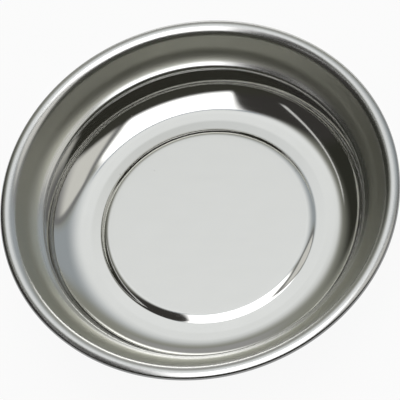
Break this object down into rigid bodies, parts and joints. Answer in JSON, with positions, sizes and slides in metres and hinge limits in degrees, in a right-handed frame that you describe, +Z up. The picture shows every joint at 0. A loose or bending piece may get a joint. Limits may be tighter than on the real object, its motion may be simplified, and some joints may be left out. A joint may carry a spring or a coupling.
{
  "type": "magnetic parts tray",
  "caption": "Round stainless-steel parts dish with a curled rim and a raised centre, standing on a ring magnet in a slip-on rubber boot that holds it to steel.",
  "frame": {"origin": "centre of the boot's underside, on the surface that the tray stands on", "axes": "+Z up along the dish's axis, towards its open side"},
  "size_m": [0.15, 0.15, 0.0384],
  "materials": {
    "stainless": "polished",
    "plated_steel": "satin",
    "ferrite": "satin",
    "foam": "matte",
    "boot_rubber": "matte"
  },
  "bodies": {
    "boot": {"rubber_boot": "boot_rubber"},
    "tray": {"dish": "stainless", "weld_stud": "plated_steel", "cushion_ring": "foam", "ring_magnet": "ferrite", "pole_plate": "plated_steel", "lock_washer": "plated_steel", "hex_nut": "plated_steel"}
  },
  "joints": [
    {"name": "boot_pull", "type": "slide", "parent": "boot", "child": "tray", "axis": [0, 0, 1], "range_m": [0, 0.03]}
  ]
}
